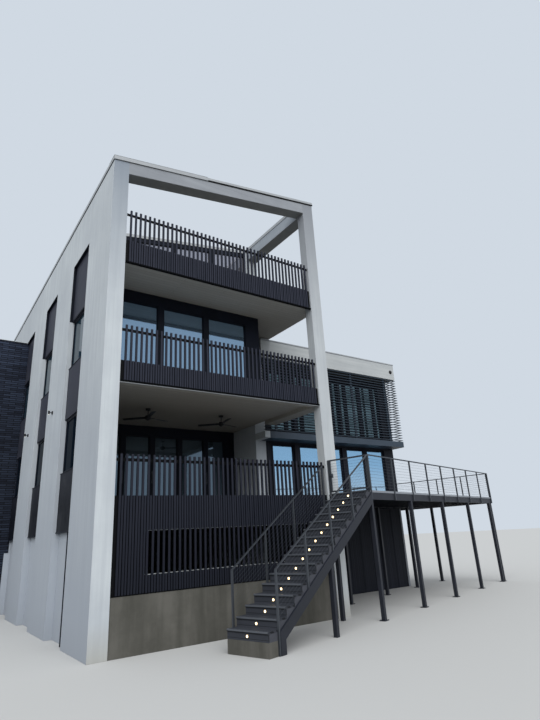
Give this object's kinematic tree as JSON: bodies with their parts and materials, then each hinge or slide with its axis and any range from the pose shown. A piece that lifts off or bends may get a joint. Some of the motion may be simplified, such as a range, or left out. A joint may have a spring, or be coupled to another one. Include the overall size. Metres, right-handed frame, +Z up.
{
  "type": "beach house",
  "caption": "Tall white-framed beach house with stacked balconies behind dark slatted screens, a louvred side wing and a raised deck with an outside stair",
  "frame": {"origin": "under the middle of the bounding box, at the lowest ground level", "axes": "+X to the right along the main block's front, +Y from the front to the back, +Z up"},
  "size_m": [18.9334, 17.6662, 13.2452],
  "materials": {
    "white_wall": "smooth painted render, light grey-white",
    "spandrel_panel": "satin flat sheet, dark violet-grey",
    "window_frame": "satin powder coat, charcoal",
    "window_glass": "coated, reflects a grey-blue sky",
    "side_glass": "tinted, dark against the white wall",
    "roof_sheet": "matt roof sheet, warm grey",
    "coping_metal": "satin folded metal, light grey",
    "soffit_board": "boards in warm dark grey",
    "slat_metal": "satin powder coat, charcoal",
    "concrete": "board-marked concrete, warm grey",
    "dark_cladding": "matt ribbed sheet, near black",
    "dark_brick": "near-black blue-grey brick",
    "deck_board": "weathered boards, dark grey",
    "stringer_board": "weathered boards, mid grey",
    "deck_steel": "matt paint, charcoal",
    "rail_steel": "brushed steel, light grey",
    "fan_metal": "satin paint, near black"
  },
  "bodies": {
    "house": {"left_wall": "white_wall", "strip_panels": "spandrel_panel", "side_window_frames": "window_frame", "side_window_glass": "side_glass", "portal_beam": "white_wall", "return_beam": "white_wall", "right_post": "white_wall", "right_wall": "white_wall", "back_wall": "white_wall", "roof_slab": "roof_sheet", "roof_coping": "coping_metal", "third_floor_windows": "window_frame", "balcony_windows": "window_frame", "terrace_windows": "window_frame", "front_glass": "window_glass", "third_floor": "soffit_board", "second_floor": "soffit_board", "first_floor": "soffit_board", "roof_screen": "slat_metal", "balcony_screen": "slat_metal", "lower_screen": "slat_metal", "plinth": "concrete", "ground_side_wall": "dark_cladding", "balcony_side_wall": "dark_cladding", "brick_tower": "dark_brick", "tower_coping": "slat_metal", "wing_front_wall": "dark_cladding", "wing_rear_walls": "dark_cladding", "wing_frames": "window_frame", "wing_glass": "window_glass", "wing_ground_wall": "dark_cladding", "wing_floors": "soffit_board", "wing_roof": "roof_sheet", "wing_fascia": "white_wall", "wing_coping": "coping_metal", "wing_ledge": "slat_metal", "wing_louvres": "slat_metal", "wing_louvre_end": "slat_metal", "deck_boards": "deck_board", "deck_frame": "deck_steel", "deck_posts": "deck_steel", "deck_rail_front": "rail_steel", "deck_rail_end": "rail_steel", "deck_rail_back": "rail_steel", "gate_post": "rail_steel", "stair_treads": "deck_board", "stair_risers": "deck_board", "stair_stringers": "stringer_board", "stair_bands": "deck_steel", "stair_rail_right": "rail_steel", "stair_rail_left": "rail_steel", "fan_mounts": "fan_metal", "wall_lights": "fan_metal"},
    "gate": {"stair_gate": "rail_steel"},
    "fan_left": {"fan_left": "fan_metal"},
    "fan_right": {"fan_right": "fan_metal"}
  },
  "joints": [
    {"name": "gate_hinge", "type": "hinge", "parent": "house", "child": "gate", "pos_m": [-0.0455, -7.65138, 3.68], "axis": [0, 0, -1], "range_deg": [0, 90]},
    {"name": "fan_left_spin", "type": "hinge", "parent": "house", "child": "fan_left", "pos_m": [-4.80668, -3.56686, 5.68], "axis": [0, 0, 1], "continuous": true},
    {"name": "fan_right_spin", "type": "hinge", "parent": "house", "child": "fan_right", "pos_m": [-2.31668, -3.56686, 5.68], "axis": [0, 0, 1], "continuous": true}
  ]
}
